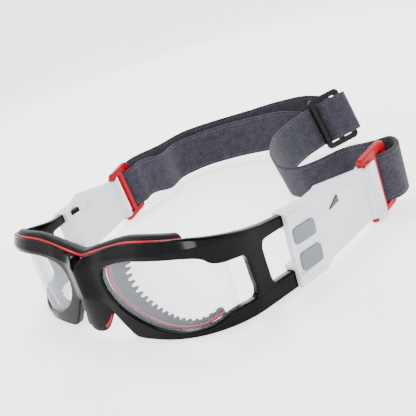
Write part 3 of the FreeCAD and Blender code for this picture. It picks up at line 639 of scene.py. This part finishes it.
WEFT_STEP = 0.9
WARP_STEP = 1.3
STITCH_PLACE = STRAP_WIDE / 2 - 1.9
weft = thread_wave(tree, place.outputs["X"], WEFT_STEP)
warp = thread_wave(tree, place.outputs["Y"], WARP_STEP)
weave = arithmetic(tree, "MULTIPLY", weft, warp)
fleck = noise_grain(tree, own, 1500, 4.0)
patch = noise_grain(tree, own, 260, 4.0)
heather = arithmetic(tree, "ADD", arithmetic(tree, "MULTIPLY", fleck, 0.65),
                     arithmetic(tree, "MULTIPLY", patch, 0.35))
heather = arithmetic(tree, "ADD", heather, arithmetic(tree, "MULTIPLY", weave, 0.10))
from_stitch = arithmetic(tree, "ABSOLUTE", arithmetic(
    tree, "SUBTRACT", arithmetic(tree, "ABSOLUTE", place.outputs["Y"]), STITCH_PLACE))
on_stitch = arithmetic(tree, "LESS_THAN", from_stitch, 0.28)
dashes = arithmetic(tree, "GREATER_THAN", thread_wave(tree, place.outputs["X"], 2.4), 0.3)
stitch = arithmetic(tree, "MULTIPLY", on_stitch, dashes)
ramp = tree.nodes.new("ShaderNodeValToRGB")
ramp.color_ramp.elements[0].position = 0.30
ramp.color_ramp.elements[0].color = (0.006, 0.006, 0.009, 1)
ramp.color_ramp.elements[1].position = 0.72
ramp.color_ramp.elements[1].color = (0.046, 0.045, 0.060, 1)
tree.links.new(heather, ramp.inputs["Fac"])
thread = tree.nodes.new("ShaderNodeMix")
thread.data_type = "RGBA"
thread.inputs["B"].default_value = (0.11, 0.11, 0.13, 1)
tree.links.new(arithmetic(tree, "MULTIPLY", stitch, 0.3), thread.inputs["Factor"])
tree.links.new(ramp.outputs["Color"], thread.inputs["A"])
tree.links.new(thread.outputs["Result"], shader.inputs["Base Color"])
tree.links.new(spread(tree, fleck, 0.75, 0.95), shader.inputs["Roughness"])
relief = arithmetic(tree, "ADD", weave, arithmetic(tree, "MULTIPLY", fleck, 0.8))
relief = arithmetic(tree, "SUBTRACT", relief, arithmetic(tree, "MULTIPLY", on_stitch, 0.6))
add_bump(tree, shader, relief, 0.6, 0.25 * MM)
shader.inputs["Sheen Weight"].default_value = 0.10
shader.inputs["Specular IOR Level"].default_value = 0.1
shader.inputs["Sheen Roughness"].default_value = 0.5

for name, route, steps, node, body in (
        ("right_webbing", right_route, 460, "right_strap", "strap"),
        ("left_webbing", left_route, 360, "left_strap", "strap"),
        ("slider_webbing", fold_route, 120, "slider_strap_fold", "slider"),
        ("sewn_webbing", sewn_route, 120, "sewn_strap_end", "slider")):
    piece, length = webbing(name, route, steps)
    give(piece, webbing_grey)
    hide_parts(node)
    if name == "right_webbing":
        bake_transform(piece)
    elif name == "left_webbing":
        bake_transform(piece)
    else:
        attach(piece, body)

# Slider. Black moulded plastic with three bars, through which the strap is doubled back.
slider_black, shader = moulded("satin_black_plastic", (0.002, 0.002, 0.003),
                               (0.004, 0.004, 0.004), (0.26, 0.38), 0.6, 0.02)
shader.inputs["Specular IOR Level"].default_value = 0.15
give(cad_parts["slider"], slider_black)

# Studio. A plain pale floor that rises far away into a wall all round, a soft light above,
# one from the left and one behind.
WALL_AWAY = 4.0


def studio_floor(rings, sides):
    """Disc that curves up into a wall: radius r, height a quarter circle past half the
    radius. The first ring is closed with one face."""
    out = np.linspace(0.1, 1.0, rings) ** 2 * WALL_AWAY
    past = np.maximum(out / WALL_AWAY - 0.5, 0) * 2
    high = WALL_AWAY * (1 - np.sqrt(1 - 0.98 * past ** 2))
    turn = np.linspace(0, 2 * math.pi, sides + 1)[:-1]
    points = np.stack([out[:, None] * np.cos(turn), out[:, None] * np.sin(turn),
                       high[:, None] + 0 * turn], axis=-1)
    i = np.arange(rings - 1)[:, None] * sides
    j = np.arange(sides)[None, :]
    k = (j + 1) % sides
    quads = np.stack([i + j, i + sides + j, i + sides + k, i + k], axis=-1).reshape(-1, 4)
    mesh = bpy.data.meshes.new("floor")
    mesh.from_pydata(points.reshape(-1, 3).tolist(), [], quads.tolist() + [list(range(sides))])
    mesh.shade_smooth()
    return mesh


floor = bpy.data.objects.new("floor", studio_floor(24, 64))
bpy.context.scene.collection.objects.link(floor)
pale, tree, shader, own = new_finish("pale_floor")
shader.inputs["Base Color"].default_value = (0.9, 0.9, 0.9, 1)
shader.inputs["Roughness"].default_value = 0.5
shader.inputs["Specular IOR Level"].default_value = 0.1
shader.inputs["Emission Color"].default_value = (1, 1, 1, 1)
shader.inputs["Emission Strength"].default_value = 1.5
give(floor, pale)


def soft_light(name, place, target, size, power):
    """Square light aimed at a place."""
    lamp = bpy.data.lights.new(name, "AREA")
    lamp.size = size
    lamp.energy = power
    light = bpy.data.objects.new(name, lamp)
    bpy.context.scene.collection.objects.link(light)
    back = np.array(place) - np.array(target)
    back /= np.linalg.norm(back)
    aside = np.cross((0.0, 1.0, 0.001), back)
    aside /= np.linalg.norm(aside)
    up = np.cross(back, aside)
    turn = np.eye(4)
    turn[:3, 0], turn[:3, 1], turn[:3, 2], turn[:3, 3] = aside, up, back, place
    light.matrix_world = Matrix(turn)


soft_light("top_light", (-0.25, 0.25, 0.9), (0, 0, 0), 0.30, 9.0)
soft_light("side_light", (0.75, -0.75, 0.55), (0, 0, 0), 0.22, 4.5)
soft_light("back_light", (-0.6, 0.7, 0.5), (0, 0, 0), 0.30, 4.0)
world = bpy.data.worlds.new("studio")
bpy.context.scene.world = world
world.use_nodes = True
world.node_tree.nodes["Background"].inputs["Color"].default_value = (1, 1, 1, 1)
world.node_tree.nodes["Background"].inputs["Strength"].default_value = 0.5

# Camera. In front of the wearer's left, a little above, rolled so that the brow climbs to
# the right.
view = bpy.data.cameras.new("view")
view.lens = 51.285
view.sensor_width = 36.0
view.shift_x = 0.1268
view.shift_y = 0.0823
camera = bpy.data.objects.new("view", view)
bpy.context.scene.collection.objects.link(camera)
stand = np.eye(4)
stand[:3, 0] = (0.74013, 0.60230, -0.29906)
stand[:3, 1] = (-0.03156, 0.47535, 0.87923)
stand[:3, 2] = (0.67172, -0.64131, 0.37083)
stand[:3, 3] = (0.188981, BRIDGE * MM - 0.130424, 0.124327)
camera.matrix_world = Matrix(stand)
bpy.context.scene.camera = camera
